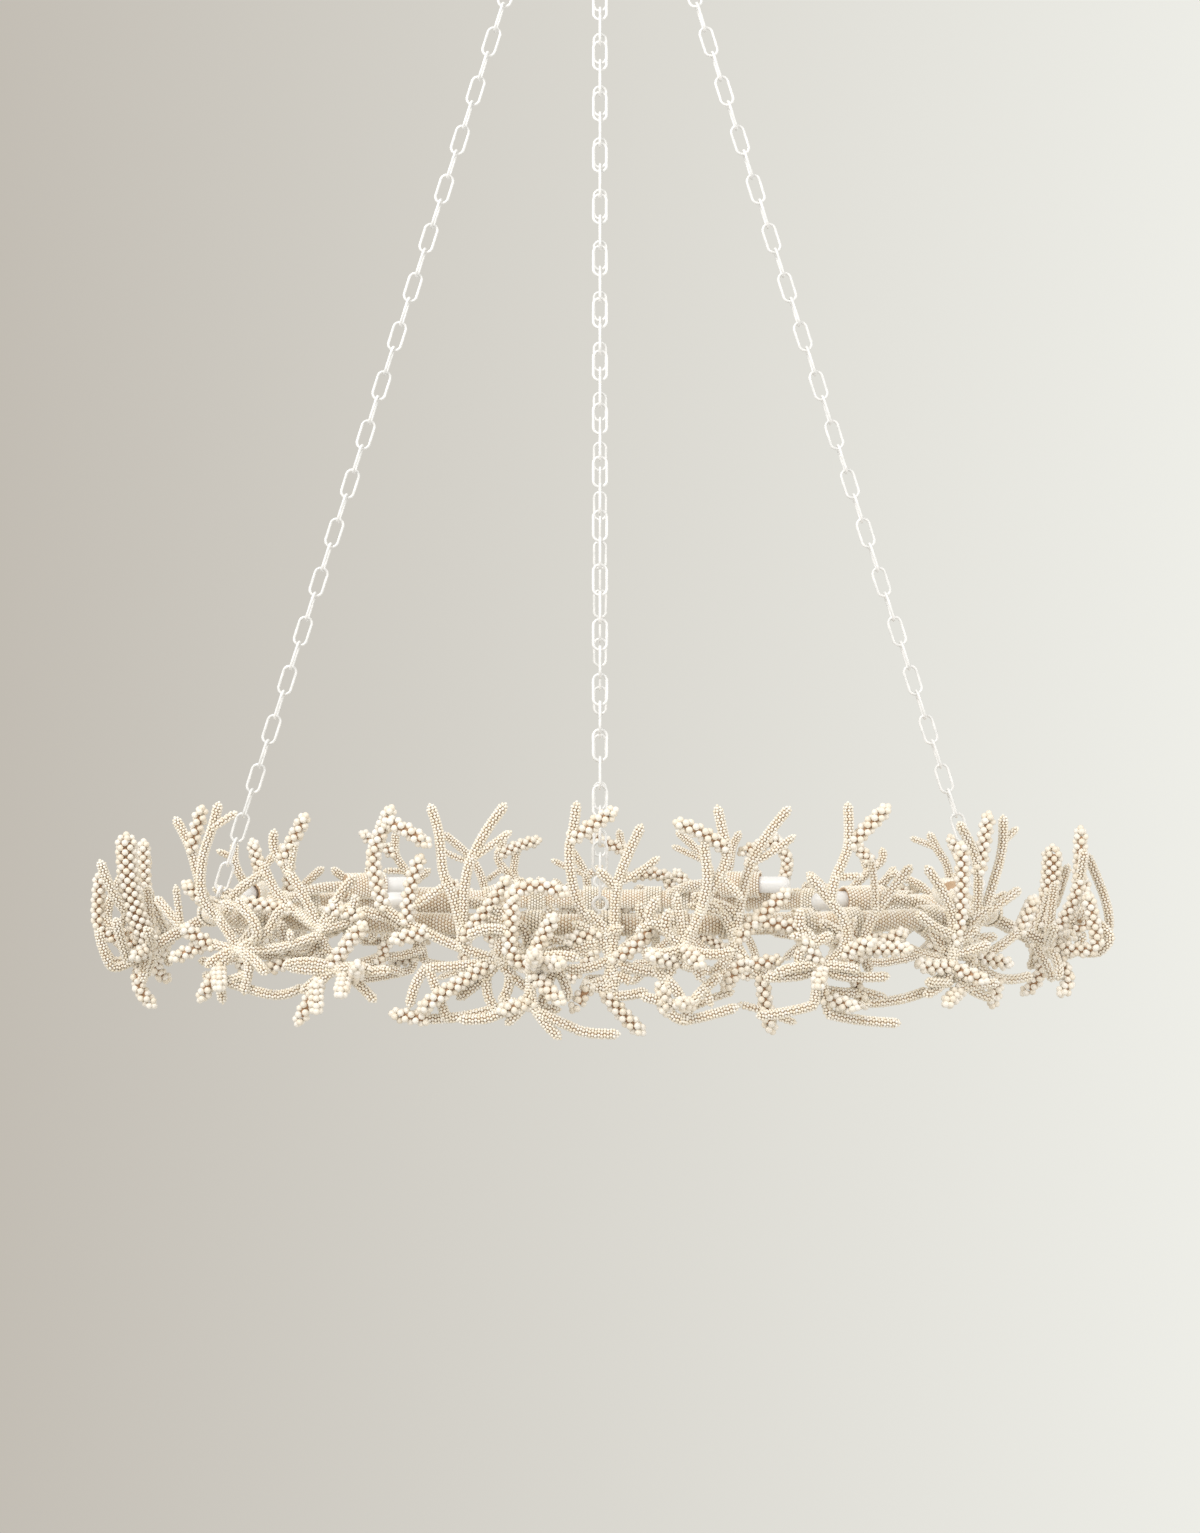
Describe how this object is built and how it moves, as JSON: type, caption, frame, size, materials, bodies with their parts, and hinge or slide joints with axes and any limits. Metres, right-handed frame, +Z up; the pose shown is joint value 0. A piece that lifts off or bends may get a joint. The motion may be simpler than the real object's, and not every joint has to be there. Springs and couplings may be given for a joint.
{
  "type": "chandelier",
  "caption": "Oval ring chandelier covered in cream beads and beaded coral branches, hung on white chains from a ceiling canopy, with frosted lamps inside the ring.",
  "frame": {"origin": "middle of the crossbar's upper face, on the ceiling plane", "axes": "+Z up, +X along the oval's length, -Y the side that the picture shows"},
  "size_m": [1.236, 0.6761, 1.6136],
  "materials": {
    "beads": "painted beads, satin",
    "white_metal": "gloss",
    "plain_steel": "plated",
    "frosted_glass": "frosted",
    "socket_ceramic": "glazed",
    "wire_insulation": "matte"
  },
  "bodies": {
    "ceiling_mount": {"crossbar": "plain_steel", "threaded_nipple": "plain_steel", "nipple_nut": "plain_steel", "canopy_loop": "white_metal"},
    "canopy_cover": {"canopy": "white_metal"},
    "canopy_ring_nut": {"lock_ring": "white_metal"},
    "link": {"hook_link": "white_metal"},
    "chandelier": {"chain_back": "white_metal", "chain_front": "white_metal", "chain_left": "white_metal", "chain_right": "white_metal", "coral_back_01": "beads", "coral_back_02": "beads", "coral_back_03": "beads", "coral_back_04": "beads", "coral_back_05": "beads", "coral_back_06": "beads", "coral_back_07": "beads", "coral_back_08": "beads", "coral_back_09": "beads", "coral_back_10": "beads", "coral_back_11": "beads", "coral_back_12": "beads", "coral_back_left": "beads", "coral_back_right": "beads", "coral_front_01": "beads", "coral_front_02": "beads", "coral_front_03": "beads", "coral_front_04": "beads", "coral_front_05": "beads", "coral_front_06": "beads", "coral_front_07": "beads", "coral_front_08": "beads", "coral_front_09": "beads", "coral_front_10": "beads", "coral_front_11": "beads", "coral_front_12": "beads", "coral_front_left": "beads", "coral_front_right": "beads", "gather_plate": "white_metal", "lamp_arms": "beads", "lamp_sleeves": "beads", "lamp_sockets": "socket_ceramic", "plate_eye": "white_metal", "plate_nut": "white_metal", "ring_bead_wrap": "beads", "ring_eyes": "white_metal", "ring_tube": "white_metal", "wiring_harness": "wire_insulation"},
    "bulb_1": {"bulb_1": "frosted_glass"},
    "bulb_2": {"bulb_2": "frosted_glass"},
    "bulb_3": {"bulb_3": "frosted_glass"},
    "bulb_4": {"bulb_4": "frosted_glass"},
    "bulb_5": {"bulb_5": "frosted_glass"},
    "bulb_6": {"bulb_6": "frosted_glass"}
  },
  "joints": [
    {"name": "canopy_drop", "type": "slide", "parent": "ceiling_mount", "child": "canopy_cover", "axis": [0, 0, -1], "range_m": [0, 0.025]},
    {"name": "ring_nut_turn", "type": "hinge", "parent": "canopy_cover", "child": "canopy_ring_nut", "pos_m": [0, 0, -0.0343], "axis": [0, 0, 1], "continuous": true},
    {"name": "swing_fore_aft", "type": "hinge", "parent": "ceiling_mount", "child": "link", "pos_m": [0, 0, -0.071], "axis": [1, 0, 0], "range_deg": [-8, 8]},
    {"name": "swing_side", "type": "hinge", "parent": "link", "child": "chandelier", "pos_m": [0, 0, -0.0992], "axis": [0, 1, 0], "range_deg": [-8, 8]},
    {"name": "bulb_1_turn", "type": "hinge", "parent": "chandelier", "child": "bulb_1", "pos_m": [-0.30321, 0.14661, -1.468], "axis": [0.9285, 0.3714, 0], "continuous": true},
    {"name": "bulb_2_turn", "type": "hinge", "parent": "chandelier", "child": "bulb_2", "pos_m": [0.18366, 0.18407, -1.468], "axis": [0.9744, -0.225, 0], "continuous": true},
    {"name": "bulb_3_turn", "type": "hinge", "parent": "chandelier", "child": "bulb_3", "pos_m": [0.426, 0, -1.468], "axis": [0, 1, 0], "continuous": true},
    {"name": "bulb_4_turn", "type": "hinge", "parent": "chandelier", "child": "bulb_4", "pos_m": [0.30321, -0.14661, -1.468], "axis": [-0.9285, -0.3714, 0], "continuous": true},
    {"name": "bulb_5_turn", "type": "hinge", "parent": "chandelier", "child": "bulb_5", "pos_m": [-0.18366, -0.18407, -1.468], "axis": [-0.9744, 0.225, 0], "continuous": true},
    {"name": "bulb_6_turn", "type": "hinge", "parent": "chandelier", "child": "bulb_6", "pos_m": [-0.426, 0, -1.468], "axis": [0, -1, 0], "continuous": true}
  ]
}
